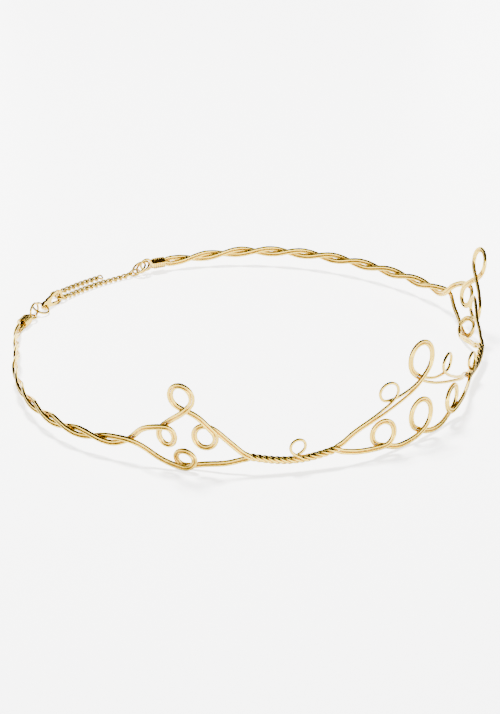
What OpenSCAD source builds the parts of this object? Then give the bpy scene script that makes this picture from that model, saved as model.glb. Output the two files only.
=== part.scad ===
/* [Ring] */
// Diameter of the ring along the middle of its wires
ring_d = 184; // [164:1:204]
// Height of the front ropes' middle line above the surface
rope_h = 7; // [6:0.5:9]
// Height of the middle line where a rope splits into a side panel
split_h = 9.6; // [8.8:0.2:10.4]
// Height of the middle line along the back ropes
back_h = 7; // [5:0.5:9]
// Width of the opening at the back, along the ring
back_gap = 72; // [70:1:75]

/* [Wire] */
// Diameter of every wire of the ring
wire_d = 1.04; // [0.96:0.02:1.04]
// Clearance between wires that run side by side
wire_gap = 0.12; // [0.12:0.02:0.16]

/* [Ropes] */
// Length of a back rope's half twist, from one crossing to the next
half_twist = 13.5; // [11:0.5:15]
// Height of the opening between the pairs, midway between crossings
eye_open = 0.5; // [0.2:0.1:0.7]
// How far the tight ropes sag between the ornament and the side panels
rope_sag = 2; // [0:0.1:2.4]
// Radius of the small loop on each tight rope
bud_r = 3; // [2.6:0.1:3.4]

/* [Side panels] */
// Width of a side panel between its two splits
panel_w = 41.8; // [39.8:0.5:43.8]
// Height of a side panel's top loop, surface to the loop's centre
panel_h = 31; // [30:0.5:34]
// Distance from the front centre to the middle of a side panel, along the ring
panel_at = 94.2; // [92.2:0.5:96.2]
// How far a side panel's top loop leans outwards
panel_lean = 3; // [0:0.5:4]
// Half width of the panel's top loop
crown_r = 4.1; // [3.7:0.1:4.5]
// Half width of the panel's hanging loop nearer the front
hang_r = 4.1; // [3.7:0.1:4.3]
// Half width of the loop on the panel's lower wires
foot_r = 3.8; // [3.5:0.1:4.2]

/* [Front ornament] */
// Width of the front ornament between its ends
front_w = 76.7; // [74.2:0.5:79.7]
// Height of the ornament's tall loop, surface to the loop's centre
front_h = 32.9; // [31.5:0.2:35]
// Half width of the tall loop
tall_r = 5.2; // [4.8:0.1:5.6]
// Radius of the two small upper curls
curl_r = 3.8; // [3.4:0.1:4.2]
// Half width of the three lower loops
low_r = 5; // [4.6:0.1:5.4]

/* [Closure] */
// Diameter of the wire of the chain
chain_wire_d = 0.72; // [0.66:0.02:0.74]
// Number of links of the chain's spare end
spare_links = 11; // [5:1:13]
// Half width of the eye on each rope's end
eye_r = 2.4; // [2.3:0.1:2.6]
// Diameter of the wire of the eyes and rings
ring_wire_d = 0.9; // [0.8:0.05:0.95]

/* [Hidden] */

ring_r = ring_d/2;
wire_r = wire_d/2;
wire_sides = 6;
pair = wire_d + wire_gap;
layer = pair/2 + 0.04;
deg_per_mm = 180/(PI*ring_r);
round_trip = 2*PI*ring_r;

// Everything is laid out on an unrolled band: u along the ring from the front centre, z above
// the surface and w outwards. A stretch of wire is a feature: its points [u, z, w, aside], and
// the direction of travel at its start and at its end, in degrees above the u direction.
// Aside is how far the wire lies to the left of the line that its pair follows.
function on_ring(p) = let (r = ring_r + p[2] + bend(p[0]))
    [r*sin(p[0]*deg_per_mm), -r*cos(p[0]*deg_per_mm), p[1]];
// The ring is bent by hand and departs a little from a circle. Columns: middle of the bend and
// half its length, as shares of half the way round, and its depth outwards as a share of ring_r.
bends = [[-0.76, 0.105, -0.045], [-0.68, 0.12, -0.033], [-0.49, 0.1, 0.018],
    [0.16, 0.09, -0.028], [0.38, 0.2, 0.019]];
function sum(list) = list*[for (v = list) 1];
function bend(u) = let (at = u/(round_trip/2))
    sum([for (b = bends) abs(at - b[0]) < b[1] ? b[2]*ring_r*(1 + cos(180*(at - b[0])/b[1]))/2 : 0]);
function last(list) = list[len(list) - 1];
function ease(t) = t*t*(3 - 2*t);
function shift(t) = ease(min(1, max(0, (t - 0.2)/0.6)));

// A turn round a centre from angle a0 to a1, for the wire on the given side of its pair.
// Side 1 is the left-hand wire, side -1 the right-hand one and 0 a single wire.
function turn(cu, cz, ru, rz, a0, a1, w0, w1, side, steps) =
    let (way = sign(a1 - a0))
    [[for (i = [0:steps]) let (t = i/steps, a = a0 + (a1 - a0)*t)
        [cu + ru*cos(a), cz + rz*sin(a), w0 + (w1 - w0)*shift(t), side*pair/2]],
     a0 + 90*way, a1 + 90*way];

// One point that the wire passes in the given direction.
function via(u, z, w, dir, side) = [[[u, z, w, side*pair/2]], dir, dir];

// The points between two features, on a cubic curve that leaves and arrives along the wire.
link_step = 3.7;
reach = 0.38;
// A wire joins its pair early in a link and leaves it late.
function side_by_side(a, b, t) = a + (b - a)*(abs(b) > abs(a) ? min(1, 1.8*t) : max(0, 1.8*t - 0.8));
function between(f, g) =
    let (p = last(f[0]), q = g[0][0], gap = norm([q[0] - p[0], q[1] - p[1]]),
         n = max(1, round(gap/link_step)), h = gap*reach,
         a = [p[0] + h*cos(f[2]), p[1] + h*sin(f[2])],
         b = [q[0] - h*cos(g[1]), q[1] - h*sin(g[1])])
    [for (i = [1:1:n - 1]) let (t = i/n, s = 1 - t)
        [s*s*s*p[0] + 3*s*s*t*a[0] + 3*s*t*t*b[0] + t*t*t*q[0],
         s*s*s*p[1] + 3*s*s*t*a[1] + 3*s*t*t*b[1] + t*t*t*q[1],
         p[2] + (q[2] - p[2])*shift(t), side_by_side(p[3], q[3], t)]];

function run(fs) = [for (i = [0:len(fs) - 1])
    each concat(fs[i][0], i < len(fs) - 1 ? between(fs[i], fs[i + 1]) : [])];
function mirrored(f) =
    [[for (i = [len(f[0]) - 1:-1:0]) let (p = f[0][i]) [-p[0], p[1], p[2], p[3]]], -f[2], -f[1]];
function both_sides(left, middle, right) =
    concat(left, middle, [for (i = [len(right) - 1:-1:0]) mirrored(right[i])]);

// Places along the ring, measured from the front centre. Pairs of values are the left-hand
// side and the right-hand side: the ornament is a little longer to the right.
front_end = [0.477*front_w, 0.523*front_w];
panel_in = panel_at - panel_w/2;
panel_out = panel_at + panel_w/2;
open_run = 2.8;
rope_end = round_trip/2 - back_gap/2;
collar_len = 5;
gather = 3.4;
loose_len = rope_end - collar_len - gather - panel_out;
// The pairs cross at the panel's split and end one above the other.
half_twists = round(loose_len/half_twist - 0.5) + 0.5;
end_h = [2.3, 4.2];

// The two pairs of a loose rope stand apart midway between crossings, less so towards its end.
spread = pair + eye_open/2;
depth = 0.72*pair;
rope_steps = 4;
function back_line(s, h) = lookup(s, [
    [0.00, split_h], [0.05, split_h - (split_h - back_h)*0.73], [0.14, split_h - (split_h - back_h)*0.88],
    [0.28, back_h],
    [0.62, back_h], [0.76, back_h - (back_h - end_h[h])*0.2], [0.88, end_h[h] + (back_h - end_h[h])*0.3],
    [0.96, end_h[h] + (back_h - end_h[h])*0.04], [1.00, end_h[h]]]);
function loose(h, level, side) =
    let (n = half_twists*rope_steps)
    [[for (i = [n:-1:1]) let (s = i/n, a = 90 + 180*i/rope_steps)
        [-panel_out - s*loose_len, back_line(s, h) + level*(pair + eye_open/2*(1 - 0.6*s))*cos(a),
            -level*depth*sin(a), side*pair/2]],
     0, 0];

// Inside the collar the four wires lie in a square.
function tail(h, level, side) =
    let (top = floor(half_twists) % 2 == 0 ? -level : level, gathered = rope_end - collar_len)
    [[[-rope_end, end_h[h], top*pair/2, side*pair/2], [-gathered, end_h[h], top*pair/2, side*pair/2],
      [-gathered + gather/2, end_h[h] + top*0.71*spread, top*0.5*pair, side*0.53*pair]], 0, 0];

// The tight rope: four wires on one helix, each with its own start angle.
tight_r = 0.87*pair;
tight_pitch = 9.6;
tight_steps = 8;
function tight_len(h) = panel_in - front_end[h] - 2*open_run;
function tight_turns(h) = round(tight_len(h)/tight_pitch - 0.5) + 0.5;
function tight_axis(t) = rope_h - rope_sag*sin(180*t);
function tight_dir(h, a) = -atan(tight_r*cos(a)*2*PI*tight_turns(h)/tight_len(h));
function tight(h, phase, from, to) =
    let (turns = tight_turns(h), n = max(1, round((to - from)*turns*tight_steps)))
    [[for (i = [0:n]) let (t = from + (to - from)*i/n, a = phase - 360*turns*t)
        [-panel_in + open_run + t*tight_len(h), tight_axis(t) + tight_r*sin(a), tight_r*cos(a), 0]],
     tight_dir(h, phase - 360*turns*from), tight_dir(h, phase - 360*turns*to)];

// The small loop stands where its wire comes over the top of the rope.
bud_at = 53.2;
bud_lift = 1.6;
bud_lean = 25;
function bud_t(h, phase) =
    let (wanted = (panel_in - open_run - bud_at)/tight_len(h),
         k = round(tight_turns(h)*wanted - (phase - 90)/360))
    (phase - 90 + 360*k)/360/tight_turns(h);
function bud(h, t) =
    turn(-panel_in + open_run + t*tight_len(h), tight_axis(t) + bud_lift + bud_r/cos(bud_lean), bud_r, bud_r,
        bud_lean - 90, 270 - bud_lean, -layer, layer, 0, 10);

// A pair opens out of the rope over a quarter turn. End is -1 at the panel, 1 at the ornament.
function opening(h, level, side, end, turned) =
    [[[end < 0 ? -panel_in + open_run/2 : -front_end[h] - open_run/2,
       rope_h + level*0.71*spread, turned*0.48*pair, side*0.53*pair]], 0, 0];

// A side panel leans outwards above its splits and inwards below them.
floor_line = wire_r + pair/2;
foot_lean = [1.3, 3.6];
function lean(h, z) = z > split_h ? panel_lean*(z - split_h)/(panel_h - split_h)
    : -foot_lean[h]*(split_h - z)/(split_h - floor_line);
function leant(h, fs) =
    [for (f = fs) [[for (p = f[0]) [p[0], p[1], p[2] + lean(h, p[1]), p[3]]], f[1], f[2]]];
// A loop turned about its upright, by so much outwards for each millimetre along the ring.
function turned(f, cu, k) = [[for (p = f[0]) [p[0], p[1], p[2] + k*(p[0] - cu), p[3]]], f[1], f[2]];
// The places of the panel's features. Columns: distance from the panel's middle towards the
// front as a share of panel_w, height as a share of panel_h.
hang_out = [-0.161, 0.449];
crown_mid = [-0.017, 1];
slope_top = [0.067, 0.794];
hang_in = [0.172, 0.481];
slope_low = [0.32, 0.49];
function place(at) = [-panel_at + at[0]*panel_w, at[1]*panel_h];
function via_at(at, w, dir, side) = via(place(at)[0], place(at)[1], w, dir, side);
function turn_at(at, ru, rz, a0, a1, w0, w1, side, steps) =
    turn(place(at)[0], place(at)[1], ru, rz, a0, a1, w0, w1, side, steps);
// The side towards the front is pushed in by this much. Columns: left-hand side, right-hand side.
in_set = [0, 1.2];
function panel_upper(h, side) = leant(h, [
    via(-panel_out, split_h, -depth, 58, side),
    turn_at(hang_out, 0.78*hang_r, hang_r, 94, -225, 1.2*layer, -1.2*layer, side, 11),
    turn_at(crown_mid, crown_r, 1.22*crown_r, -40, 238, 1.2*layer, -1.2*layer, side, 11),
    via_at(slope_top, -in_set[h], -22, side),
    turn_at(hang_in, hang_r, 1.07*hang_r, 48, -276, 1.5*layer - in_set[h], -1.5*layer - in_set[h], side, 12),
    via_at(slope_low, -layer - in_set[h], -41, side),
    via(-panel_in, rope_h + spread, pair/2, -42, side)]);
// The lower pair rests on the surface at its loop. Columns: left-hand side, right-hand side.
foot_at = [-0.007, 0.053];
foot_turned = [0, 0.15];
fall_at = [-0.335, -0.335];
function panel_lower(h, side) =
    let (foot_u = -panel_at + foot_at[h]*panel_w)
    leant(h, [
        via(-panel_out, split_h, depth, -12, side),
        via(-panel_at + fall_at[h]*panel_w, 0.65*split_h, 0, -35, side),
        turned(turn(foot_u, floor_line + 0.94*foot_r, foot_r, 0.94*foot_r, -106, 286,
            1.6*layer, -1.6*layer, side, 12), foot_u, foot_turned[h]),
        via(-panel_in, rope_h - spread, -pair/2, 22, side)]);

// The front ornament's features lie at shares of the distance to its end.
// Columns: left-hand side, right-hand side.
end_dir = [42, 32];
curl_at = [0.486, 0.345];
curl_h = [24.4, 25.3];
low_at = [0.555, 0.449];
low_h = [8.7, 9.3];
low_wide = [0.92, 1];
low_from = [-95, -110];
low_to = [262, 252];
lower_dir = [-20, -2];
rest_at = [0.33, 0.214];
plain_at = [0.54, 0.578];
plain_h = [17, 15.1];
curled_at = [0.63, 0.52];
curled_h = [16.1, 16.05];
function front_plain(h, side) = [
    via(-front_end[h], rope_h + spread, -pair/2, end_dir[h], side),
    via(-front_end[h]*plain_at[h], plain_h[h], 0, 21, side)];
function front_curled(h, side) = [
    via(-front_end[h], rope_h + spread, -pair/2, end_dir[h], side),
    via(-front_end[h]*curled_at[h], curled_h[h], 0, 24, side),
    turn(-front_end[h]*curl_at[h], curl_h[h], curl_r, curl_r, -45, 262, layer, -layer, 0, 11)];
function front_lower(h, side) = [
    via(-front_end[h], rope_h - spread, pair/2, lower_dir[h], side),
    turn(-front_end[h]*low_at[h], low_h[h], low_r*low_wide[h], low_r, low_from[h], low_to[h],
        1.6*layer, -0.4*layer, side, 12),
    via(-front_end[h]*rest_at[h], floor_line, 0, 0, side)];
// The tall loop and the loop below it. Columns: place along the ring, height.
tall_mid = [-2.2, front_h];
low_mid = [-1.5, 10.3];
function front_tall(side) =
    [turn(tall_mid[0], tall_mid[1], tall_r, 1.25*tall_r, -46, 226, layer, -layer, side, 13)];
function front_low_loop(side) =
    [turn(low_mid[0], low_mid[1], 0.96*low_r, 1.22*low_r, -55, 235, layer, -layer, side, 12)];

// A wire of the upper or lower pair, from its end in a collar to the front. The half turn left
// over by the tight rope swaps the sides of a pair.
function half_path(h, level, side, with_bud, curled) =
    let (phase = (level > 0 ? 0 : 180) + level*side*45, t = bud_t(h, phase),
         before = 0.125/tight_turns(h))
    concat(
        [tail(h, level, side), loose(h, level, side)],
        level > 0 ? panel_upper(h, side) : panel_lower(h, side),
        [opening(h, level, side, -1, level)],
        with_bud ? [tight(h, phase, 0, t - before), bud(h, t), tight(h, phase, t + before, 1)]
            : [tight(h, phase, 0, 1)],
        [opening(h, level, -side, 1, -level)],
        level < 0 ? front_lower(h, -side) : curled ? front_curled(h, -side) : front_plain(h, -side));
function set_aside(line) = [for (i = [0:len(line) - 1])
    let (p = line[i], d = line[min(i + 1, len(line) - 1)] - line[max(i - 1, 0)], n = norm([d[0], d[1]]))
    [p[0] - p[3]*d[1]/n, p[1] + p[3]*d[0]/n, p[2]]];
function wire_path(level, side, with_bud, curled) =
    set_aside(run(both_sides(half_path(0, level, side, with_bud, curled),
        level < 0 ? front_low_loop(-side) : front_tall(-side),
        half_path(1, level, side, with_bud, curled))));

// A wire is swept along its points as one closed skin. Its rings stay square to the run.
function unit(v) = v/norm(v);
function ring_of(p, t, out, r, sides) =
    let (e1 = unit(out - (out*t)*t), e2 = cross(t, e1))
    [for (k = [0:sides - 1]) p + r*(cos(360*k/sides)*e1 + sin(360*k/sides)*e2)];
function wire_points(path, r, sides) =
    let (n = len(path))
    [for (i = [0:n - 1]) each ring_of(path[i], unit(path[min(i + 1, n - 1)] - path[max(i - 1, 0)]),
        [path[i][0], path[i][1], 0]/norm([path[i][0], path[i][1]]), r, sides)];
function wire_faces(n, sides) = concat(
    [[for (k = [0:sides - 1]) k]],
    [for (i = [0:n - 2]) for (k = [0:sides - 1])
        let (a = i*sides + k, b = i*sides + (k + 1) % sides)
        each [[a, b + sides, b], [a, a + sides, b + sides]]],
    [[for (k = [sides - 1:-1:0]) (n - 1)*sides + k]]);

module swept_wire(band_path) {
    path = [for (p = band_path) on_ring(p)];
    polyhedron(wire_points(path, wire_r, wire_sides), wire_faces(len(path), wire_sides));
}

module upper_wire_looped() color("gold") swept_wire(wire_path(1, 1, true, false));
module upper_wire_curled() color("goldenrod") swept_wire(wire_path(1, -1, false, true));
module lower_wire_inner() color("khaki") swept_wire(wire_path(-1, 1, false, false));
module lower_wire_outer() color("darkkhaki") swept_wire(wire_path(-1, -1, false, false));

// Fittings are drawn with x along the ring, y towards its middle and z up.
module at(u, z) translate(on_ring([u, z, 0])) rotate([0, 0, u*deg_per_mm]) children();
ring_fn = 40;
wire_fn = 20;
play = 0.1;
module wire_ring(r, d) rotate_extrude($fn = ring_fn) translate([r, 0]) circle(d = d, $fn = wire_fn);

// The eye on a rope's end: a wound collar closed by a cap, and the eye let into the cap.
wind_d = 0.8;
wind_n = 6;
wind_r = pair/sqrt(2) + wire_r + 0.15 + wind_d/2;
cap_t = 0.8;
eye_u = rope_end + 0.6 + eye_r;
module collar() {
    pitch = (collar_len - wind_d)/(wind_n - 1);
    rotate([0, 90, 0]) rotate_extrude($fn = ring_fn) {
        for (i = [0:wind_n - 1])
            translate([wind_r, -wind_d/2 - i*pitch]) circle(d = wind_d, $fn = wire_fn);
        translate([wind_r - wind_d/2, -collar_len + wind_d/2])
            square([wind_d/2, collar_len - wind_d/2 + 0.15]);
        translate([0, 0.15]) square([wind_r, cap_t]);
    }
}
module right_end_eye() color("gold") at(rope_end, end_h[1]) {
    collar();
    translate([0.6 + eye_r, 0, 0]) rotate([90, 0, 0]) wire_ring(eye_r, ring_wire_d);
}
eye_drop = 0.6;
module left_end_eye() color("gold") at(-rope_end, end_h[0]) mirror([1, 0, 0]) {
    collar();
    translate([0.6, 0, 0]) rotate([0, asin(eye_drop/(2*eye_r)), 0]) translate([eye_r, 0, 0])
        wire_ring(eye_r, ring_wire_d);
}

// The two jump rings lean: each reaches from the chain's first link up through the right eye.
link_half_w = 1.4;
edge_z = link_half_w + chain_wire_d/2;
lean_foot = [5.8, edge_z];
lean_top = [0.9, end_h[1] + 1];
module jump_ring(step) {
    rise = lean_top[1] - lean_foot[1];
    reach_u = lean_foot[0] - lean_top[0];
    slope = atan2(rise, reach_u);
    at(eye_u + (lean_foot[0] + lean_top[0])/2 - step/sin(slope), (lean_foot[1] + lean_top[1])/2)
        rotate([0, slope, 0]) wire_ring(norm([rise, reach_u])/2, ring_wire_d);
}
module front_jump_ring() color("gold") jump_ring(ring_wire_d + play);
module rear_jump_ring() color("gold") jump_ring(0);

// A chain link lies between two joints, and is wound so that each one lies in the next. The links
// at the chain's ends are longer and wider than the others.
end_pitch = 3.8;
chain_pitch = 2.44;
chain_half_w = 1.15;
run_links = 16;
link_wind = 0.83*chain_wire_d;
link_steps = 10;
link_sides = 5;
overlap = 1.56*chain_wire_d;
// p and q are the joints, up is the link's flat side, w its half width, h0 and h1 how far each
// end is wound.
function chain_link(p, q, up, w, h0, h1) =
    let (x = unit(q - p), y = unit(cross(up, x)), z = cross(x, y), c = (p + q)/2,
         a = (norm(q - p) + overlap)/2,
         path = [for (i = [0:link_steps - 1]) let (t = 360*i/link_steps)
             c + a*cos(t)*x + w*sin(t)*y + (cos(t) > 0 ? h1 : h0)*sin(2*t)*z])
    [for (i = [0:link_steps - 1]) each ring_of(path[i],
        unit(path[(i + 1) % link_steps] - path[(i + link_steps - 1) % link_steps]),
        unit(path[i] - c), chain_wire_d/2, link_sides)];
link_size = link_steps*link_sides;
function link_faces(first) = [for (i = [0:link_steps - 1]) for (k = [0:link_sides - 1])
    let (a = i*link_sides + k, b = i*link_sides + (k + 1) % link_sides,
         c = (a + link_sides) % link_size, d = (b + link_sides) % link_size)
    each [[first + a, first + d, first + b], [first + a, first + c, first + d]]];

chain_u = eye_u + 3.5;
low_z = chain_wire_d/2 + link_wind;
clasped_pitch = end_pitch + 0.5;
clasped_in = 2.8;
clasped_z = 2.3;
// The run's joints, with the height of each: it rises to the jump rings and to the clasp.
function run_u(i) = chain_u + min(i, 1)*end_pitch + max(0, min(i, run_links - 1) - 1)*chain_pitch
    + (i == run_links ? clasped_pitch : 0);
function run_z(i) = i == run_links ? clasped_z : i == run_links - 1 ? low_z + 0.35
    : lookup(i, [[0, edge_z], [1, edge_z], [2, low_z + 0.2], [3, low_z]]);
function run_joint(i) = on_ring([run_u(i), run_z(i), 0]);
function outward(u) = [sin(u*deg_per_mm), -cos(u*deg_per_mm), 0];
// The spare end hangs from the clasped link by one link on edge, then lies beside the run.
turn_u = run_u(run_links) + overlap/2 - clasped_in - 0.65;
turn_near = 0.25;
turn_far = turn_near + end_pitch + overlap;
turn_out = 0.7;
function spare_joint(i) =
    on_ring([turn_u + (turn_out - i*chain_pitch)*ring_r/(ring_r + turn_far),
        lookup(i, [[0, edge_z], [1, low_z + 0.3], [2, low_z]]), turn_far]);
chain_links = concat(
    [chain_link(run_joint(0), run_joint(1), outward(run_u(0)), link_half_w, 0, 0)],
    [for (i = [1:run_links - 2]) chain_link(run_joint(i), run_joint(i + 1), [0, 0, 1], chain_half_w,
        i == 1 ? 0 : link_wind, link_wind)],
    [chain_link(run_joint(run_links - 1), run_joint(run_links), [0, 0, 1], link_half_w, link_wind, 0)],
    [chain_link(on_ring([turn_u, edge_z, turn_near + overlap/2]),
        on_ring([turn_u, edge_z, turn_far - overlap/2]),
        [cos(turn_u*deg_per_mm), sin(turn_u*deg_per_mm), 0], link_half_w, 0, 0)],
    [for (i = [0:spare_links - 1]) chain_link(spare_joint(i), spare_joint(i + 1), [0, 0, 1],
        chain_half_w, i == 0 ? 0 : link_wind, link_wind)]);
module chain() color("goldenrod") polyhedron([for (l = chain_links) each l],
    [for (i = [0:len(chain_links) - 1]) each link_faces(i*link_size)]);

// The clasp stands on its edge: x from its nose to its eyelet, drawn in the x and z plane.
clasp_t = 1.2;
nose_r = 3;
hook_r = 1.75;
clasp_eye = [10.9, 2.2];
clasp_eye_r = 1;
pivot = [7.7, 3.9];
pin_r = 0.35;
lever_t = 0.6;
clasp_u = -(round_trip - run_u(run_links) - overlap/2 + clasped_in);
clasp_mid = 5;
module clasp_frame() difference() {
    union() {
        hull() {
            translate([nose_r, nose_r]) circle(nose_r, $fn = 48);
            translate([8.6, 2.8]) circle(1.9, $fn = 32);
        }
        hull() {
            translate([8.8, 2.4]) circle(1.5, $fn = 32);
            translate(clasp_eye) circle(1.85*clasp_eye_r, $fn = 32);
        }
    }
    hull() {
        translate([nose_r, nose_r]) circle(hook_r, $fn = 32);
        translate([6.3, 2.75]) circle(1.1, $fn = 24);
    }
    translate(clasp_eye) circle(clasp_eye_r, $fn = 24);
}
// The stretch of the frame that the lever takes, from the nose to the pivot.
module lever_zone(g)
    polygon([[2.9 + g, 6.5], [2 + g, 4.5], [2 + g, 3.2], [7, 3.2], [8.7 - g, 3.3], [8.7 - g, 6.5]]);
module upright(t) rotate([90, 0, 0]) linear_extrude(t, center = true) children();
module clasp_place() at(clasp_u + clasp_mid, 0) translate([-clasp_mid, 0, 0]) children();
module clasp_body() color("gold") clasp_place() {
    difference() {
        upright(clasp_t) clasp_frame();
        upright(clasp_t + 1) intersection() {
            lever_zone(0);
            translate([0, 3.2]) square([6.6, 4]);
        }
        upright(lever_t + 2*play) translate([6.5, 3]) square([2.4, 4]);
    }
    translate([pivot[0], 0, pivot[1]]) upright(clasp_t - 0.1) circle(pin_r, $fn = 24);
}
module clasp_lever() color("goldenrod") clasp_place() upright(lever_t) difference() {
    intersection() { clasp_frame(); lever_zone(2*play); }
    translate(pivot) circle(pin_r + play, $fn = 24);
}

// The rings between the clasp and the left eye.
small_r = 3;
small_u = -(eye_u + eye_r + 0.8);
module small_ring() color("gold")
    at(small_u, small_r + ring_wire_d/2) rotate([90, 0, 0]) wire_ring(small_r, ring_wire_d);
large_roll = 22;
large_near = [small_u - 1.7, small_r - 0.3];
large_far = [clasp_u + clasp_eye[0], clasp_eye[1]];
module large_ring() color("gold") {
    across = large_near - large_far;
    middle = (large_near + large_far)/2;
    at(middle[0], middle[1]) rotate([0, -atan(across[1]/across[0]), 0]) rotate([-large_roll, 0, 0])
        wire_ring(norm(across)/2, ring_wire_d);
}

upper_wire_looped();
upper_wire_curled();
lower_wire_inner();
lower_wire_outer();
right_end_eye();
left_end_eye();
front_jump_ring();
rear_jump_ring();
chain();
clasp_body();
clasp_lever();
large_ring();
small_ring();
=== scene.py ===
# %% [markdown]
# # A wire circlet
# Four gold wires run all the way round a head. In places they are twisted into a rope, and at the
# front and the sides they part in pairs and curl into loops. A fine chain closes the ring at the
# back. The solids come from the imported model, and this lesson dresses them: it makes the drawn
# wires round, gives the closure its polished finish, and sets up the light and the camera for its
# photograph.

# %% Load the imported model
import math
import bmesh
import bpy
from mathutils import Matrix, Vector


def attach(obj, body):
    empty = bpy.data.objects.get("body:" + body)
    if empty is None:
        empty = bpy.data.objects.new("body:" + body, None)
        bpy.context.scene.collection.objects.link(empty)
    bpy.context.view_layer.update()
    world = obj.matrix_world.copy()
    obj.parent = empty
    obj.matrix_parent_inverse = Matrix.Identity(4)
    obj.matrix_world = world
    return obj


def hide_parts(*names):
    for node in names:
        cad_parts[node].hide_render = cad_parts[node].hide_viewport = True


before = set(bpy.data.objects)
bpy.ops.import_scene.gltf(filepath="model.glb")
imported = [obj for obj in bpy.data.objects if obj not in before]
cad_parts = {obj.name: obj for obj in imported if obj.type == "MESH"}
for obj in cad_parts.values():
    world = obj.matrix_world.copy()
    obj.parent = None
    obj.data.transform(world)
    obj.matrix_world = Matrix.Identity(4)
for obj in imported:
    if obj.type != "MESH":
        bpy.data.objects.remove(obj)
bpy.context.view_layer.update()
print("nodes:", sorted(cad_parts))

# %% [markdown]
# ## Polished gold plate
# Plated jewellery wire is a mirror: what it shows is the room. A metal shader with a low roughness
# does that by itself. Real plate also varies a little: it is warmer where it is thicker, and fine
# drawing marks blur its glints. Two noises on Object coordinates give both, so they stay with the
# metal when the object turns.

# %% The gold of the wires, the fittings and the chain
MM = 0.001
TINT_SCALE = 140.0
MARK_MIDDLE = (0.35, 0.65)
MARK_STRENGTH = 0.08
MARK_DEPTH = 0.02 * MM


def gold_plate(name, pale, warm, smooth, worn, mark_size):
    """A polished plated metal: two tints, two roughnesses and the size of its fine marks."""
    material = bpy.data.materials.new(name)
    material.use_nodes = True
    nodes, links = material.node_tree.nodes, material.node_tree.links
    nodes.clear()
    surface = nodes.new("ShaderNodeBsdfPrincipled")
    output = nodes.new("ShaderNodeOutputMaterial")
    place = nodes.new("ShaderNodeTexCoord")
    tint_noise = nodes.new("ShaderNodeTexNoise")
    tint_noise.inputs["Scale"].default_value = TINT_SCALE
    tint_noise.inputs["Detail"].default_value = 2.0
    tint = nodes.new("ShaderNodeMix")
    tint.data_type = "RGBA"
    tint.inputs["A"].default_value = (*pale, 1)
    tint.inputs["B"].default_value = (*warm, 1)
    mark_noise = nodes.new("ShaderNodeTexNoise")
    mark_noise.inputs["Scale"].default_value = 1 / mark_size
    mark_noise.inputs["Detail"].default_value = 3.0
    rough = nodes.new("ShaderNodeMapRange")
    rough.inputs["From Min"].default_value, rough.inputs["From Max"].default_value = MARK_MIDDLE
    rough.inputs["To Min"].default_value = smooth
    rough.inputs["To Max"].default_value = worn
    bump = nodes.new("ShaderNodeBump")
    bump.inputs["Strength"].default_value = MARK_STRENGTH
    bump.inputs["Distance"].default_value = MARK_DEPTH
    surface.inputs["Metallic"].default_value = 1.0
    links.new(place.outputs["Object"], tint_noise.inputs["Vector"])
    links.new(place.outputs["Object"], mark_noise.inputs["Vector"])
    links.new(tint_noise.outputs["Fac"], tint.inputs["Factor"])
    links.new(tint.outputs["Result"], surface.inputs["Base Color"])
    links.new(mark_noise.outputs["Fac"], rough.inputs["Value"])
    links.new(rough.outputs["Result"], surface.inputs["Roughness"])
    links.new(mark_noise.outputs["Fac"], bump.inputs["Height"])
    links.new(bump.outputs["Normal"], surface.inputs["Normal"])
    links.new(surface.outputs["BSDF"], output.inputs["Surface"])
    return material


wire_gold = gold_plate("wire_gold_plate", pale=(0.86, 0.62, 0.095), warm=(0.80, 0.54, 0.06),
                       smooth=0.05, worn=0.10, mark_size=0.35 * MM)
fitting_gold = gold_plate("fitting_gold_plate", pale=(0.84, 0.60, 0.095), warm=(0.78, 0.52, 0.06),
                          smooth=0.07, worn=0.13, mark_size=0.3 * MM)
chain_gold = gold_plate("chain_gold_plate", pale=(0.85, 0.61, 0.095), warm=(0.79, 0.53, 0.06),
                        smooth=0.06, worn=0.12, mark_size=0.25 * MM)
print("finishes:", wire_gold.name, fitting_gold.name, chain_gold.name)

# %% [markdown]
# ## The four wires and the chain
# In the source each wire is a six-sided bar and each link a five-sided one, which keeps the solids
# light. The real wire is round. Catmull-Clark subdivision turns such a bar into a round one, but it
# also pulls the skin in. So a copy of the node is merged into one skin, its triangles are joined
# back into the quads that they came from, and the skin is pushed out before it is subdivided.
#
# The solids also keep a hair of air between two wires that lie side by side, so that each stays a
# piece of its own. On the real circlet those wires touch. The round skin is therefore given a
# little more than the drawn thickness, which takes up that air.

# %% Round wire from a faceted bar
MERGE_DIST = 0.002 * MM
QUAD_FACE_ANGLE = math.radians(40)
QUAD_SHAPE_ANGLE = math.radians(60)
ROUNDING = 2


def round_wire(node, drawn, diameter, sides, material):
    """Puts a round copy of a swept wire, drawn as a bar of the given sides, in the node's place."""
    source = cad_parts[node]
    mesh = source.data.copy()
    mesh.name = node + "_round"
    mesh.materials.clear()
    mesh.materials.append(material)
    skin = bmesh.new()
    skin.from_mesh(mesh)
    bmesh.ops.remove_doubles(skin, verts=skin.verts, dist=MERGE_DIST)
    bmesh.ops.join_triangles(skin, faces=skin.faces, angle_face_threshold=QUAD_FACE_ANGLE,
                             angle_shape_threshold=QUAD_SHAPE_ANGLE)
    skin.normal_update()
    # Subdividing a bar of n sides leaves this share of its radius.
    kept = (2 + math.cos(2 * math.pi / sides)) / 3
    push = diameter / 2 / kept - drawn / 2
    for vert in skin.verts:
        vert.co += vert.normal * push
    for face in skin.faces:
        face.smooth = True
    skin.to_mesh(mesh)
    skin.free()
    piece = bpy.data.objects.new(node + "_round", mesh)
    bpy.context.scene.collection.objects.link(piece)
    rounding = piece.modifiers.new("rounding", "SUBSURF")
    rounding.levels = rounding.render_levels = ROUNDING
    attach(piece, "circlet")
    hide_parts(node)
    print(f"{piece.name}: {len(mesh.polygons)} faces before rounding")


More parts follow.
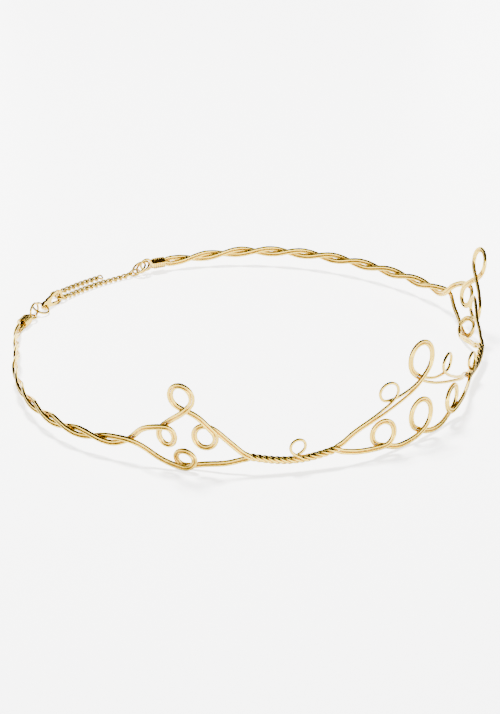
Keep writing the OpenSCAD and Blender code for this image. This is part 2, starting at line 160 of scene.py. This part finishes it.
WIRES = ("upper_wire_looped", "upper_wire_curled", "lower_wire_inner", "lower_wire_outer")
WIRE_SIDES, CHAIN_SIDES = 6, 5
DRAWN_WIRE_D, WIRE_D = 1.04 * MM, 1.15 * MM
DRAWN_CHAIN_D, CHAIN_D = 0.72 * MM, 0.84 * MM
for name in WIRES:
    round_wire(name, DRAWN_WIRE_D, WIRE_D, WIRE_SIDES, wire_gold)
round_wire("chain", DRAWN_CHAIN_D, CHAIN_D, CHAIN_SIDES, chain_gold)

# %% [markdown]
# ## The fittings
# The rings, the wound collars and the clasp are exact solids in the frame already, so they keep
# their shape and only take the finish.

# %% Finish the fittings
FITTINGS = ("right_end_eye", "left_end_eye", "front_jump_ring", "rear_jump_ring", "clasp_body",
            "clasp_lever", "large_ring", "small_ring")
for name in FITTINGS:
    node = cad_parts[name]
    for place in node.material_slots:
        place.material = fitting_gold
print("polished:", len(FITTINGS), "fittings")

# %% [markdown]
# ## The table and the light
# The circlet lies on a white glossy board in a light tent. Gold looks pale where it mirrors the
# board and the bright lower walls, and each wire has a dark brown line along its top, where it
# mirrors the dark ceiling. So the tent is bright low down and towards the front, and dark above.
#
# A wire that runs away from the camera mirrors only what lies low behind the circlet. Two cards
# stand there, one on each side and outside the picture, or the tight rope on the right would turn
# black. The softbox overhead gives the faint shadows. The metal doesn't mirror it, because it
# would draw a hard white line on every wire.

# %% The board
BOARD_HALF = 4.0
BOARD_WHITE = (0.8, 0.795, 0.79, 1)
BOARD_ROUGHNESS = 0.22
BOARD_GLOSS = 0.25
BOARD_GLOW = 3.0


def board_white():
    """White acrylic under a thin gloss, which the camera sees a little overexposed."""
    material = bpy.data.materials.new("board_white")
    material.use_nodes = True
    surface = material.node_tree.nodes["Principled BSDF"]
    surface.inputs["Base Color"].default_value = BOARD_WHITE
    surface.inputs["Roughness"].default_value = BOARD_ROUGHNESS
    surface.inputs["Specular IOR Level"].default_value = BOARD_GLOSS
    nodes, links = material.node_tree.nodes, material.node_tree.links
    seen = nodes.new("ShaderNodeLightPath")
    glow = nodes.new("ShaderNodeEmission")
    dark = nodes.new("ShaderNodeEmission")
    dark.inputs["Strength"].default_value = 0.0
    glow.inputs["Strength"].default_value = BOARD_GLOW
    pick = nodes.new("ShaderNodeMixShader")
    both = nodes.new("ShaderNodeAddShader")
    links.new(seen.outputs["Is Camera Ray"], pick.inputs["Fac"])
    links.new(dark.outputs["Emission"], pick.inputs[1])
    links.new(glow.outputs["Emission"], pick.inputs[2])
    links.new(surface.outputs["BSDF"], both.inputs[0])
    links.new(pick.outputs["Shader"], both.inputs[1])
    links.new(both.outputs["Shader"], nodes["Material Output"].inputs["Surface"])
    return material


board_mesh = bpy.data.meshes.new("board")
board_shape = bmesh.new()
bmesh.ops.create_grid(board_shape, x_segments=1, y_segments=1, size=BOARD_HALF)
board_shape.to_mesh(board_mesh)
board_shape.free()
board_mesh.materials.append(board_white())
board = bpy.data.objects.new("board", board_mesh)
bpy.context.scene.collection.objects.link(board)
print("board:", tuple(round(size, 2) for size in board.dimensions))

# %% The tent


def light_tent(dark, bright, facing, dark_at, bright_at):
    """A world that is bright where it faces a direction and dark where it looks away from it.

    The camera itself sees a plain pale backdrop all round.
    """
    world = bpy.data.worlds.new("tent")
    world.use_nodes = True
    nodes, links = world.node_tree.nodes, world.node_tree.links
    nodes.clear()
    direction = nodes.new("ShaderNodeTexCoord")
    along = nodes.new("ShaderNodeVectorMath")
    along.operation = "DOT_PRODUCT"
    along.inputs[1].default_value = facing
    height = nodes.new("ShaderNodeMapRange")
    height.interpolation_type = "SMOOTHSTEP"
    height.inputs["From Min"].default_value = dark_at
    height.inputs["From Max"].default_value = bright_at
    blend = nodes.new("ShaderNodeMix")
    blend.data_type = "RGBA"
    blend.inputs["A"].default_value = (*dark, 1)
    blend.inputs["B"].default_value = (*bright, 1)
    seen = nodes.new("ShaderNodeLightPath")
    backdrop = nodes.new("ShaderNodeMix")
    backdrop.data_type = "RGBA"
    backdrop.inputs["B"].default_value = (*bright, 1)
    background = nodes.new("ShaderNodeBackground")
    output = nodes.new("ShaderNodeOutputWorld")
    links.new(direction.outputs["Generated"], along.inputs[0])
    links.new(along.outputs["Value"], height.inputs["Value"])
    links.new(height.outputs["Result"], blend.inputs["Factor"])
    links.new(seen.outputs["Is Camera Ray"], backdrop.inputs["Factor"])
    links.new(blend.outputs["Result"], backdrop.inputs["A"])
    links.new(backdrop.outputs["Result"], background.inputs["Color"])
    links.new(background.outputs["Background"], output.inputs["Surface"])
    bpy.context.scene.world = world


def softbox(name, place, size, power):
    """A square area light that looks from its place to the middle of the ring."""
    light = bpy.data.lights.new(name, "AREA")
    light.shape = "SQUARE"
    light.size = size
    light.energy = power
    box = bpy.data.objects.new(name, light)
    box.matrix_world = Matrix.Translation(place) @ (
        (-Vector(place)).to_track_quat("-Z", "Y").to_matrix().to_4x4())
    bpy.context.scene.collection.objects.link(box)
    return box


LOW_FRONT = Vector((-0.08, -0.33, -0.94)).normalized()
CEILING = (0.05, 0.037, 0.024)
WALLS = (10.0, 10.0, 10.0)
light_tent(CEILING, WALLS, facing=LOW_FRONT, dark_at=0.0, bright_at=0.19)

# Columns: name, place, size and power.
SOFTBOXES = (("overhead", (0.05, 0.3, 1.2), 0.25, 90),
             ("far_right", (1.1, 0.45, 0.25), 0.6, 9),
             ("far_left", (0.45, 1.1, 0.25), 0.6, 9))
boxes = {name: softbox(name, place, size, power) for name, place, size, power in SOFTBOXES}
boxes["overhead"].visible_glossy = False
print("lights: tent and", ", ".join(boxes))

# %% [markdown]
# ## The camera
# The photograph was taken from the front left and from above, with a long lens. These values come
# from fitting the rings and loops of the model to their places in the photograph.

# %% The photograph's view
FRAME_W, FRAME_H = 500, 714
VIEW_AZIMUTH = -46.1
VIEW_ELEVATION = 25.98
VIEW_DISTANCE = 1.0
FOCAL_PX = 2579.1
CENTRE_PX = (241.7, 361.3)
SENSOR = 36.0
NEAREST = 0.05

azimuth, elevation = math.radians(VIEW_AZIMUTH), math.radians(VIEW_ELEVATION)
lens = bpy.data.cameras.new("camera")
lens.sensor_width = SENSOR
lens.lens = FOCAL_PX * SENSOR / FRAME_H
lens.shift_x = (FRAME_W / 2 - CENTRE_PX[0]) / FRAME_H
lens.shift_y = (CENTRE_PX[1] - FRAME_H / 2) / FRAME_H
lens.clip_start = NEAREST
lens.dof.use_dof = False
stand = VIEW_DISTANCE * Vector((math.sin(azimuth) * math.cos(elevation),
                                -math.cos(azimuth) * math.cos(elevation), math.sin(elevation)))
camera = bpy.data.objects.new("camera", lens)
camera.matrix_world = Matrix.Translation(stand) @ (
    (-stand).to_track_quat("-Z", "Y").to_matrix().to_4x4())
bpy.context.scene.collection.objects.link(camera)
bpy.context.scene.camera = camera
print("camera at", tuple(round(v, 3) for v in stand), "lens", round(lens.lens, 1), "mm")
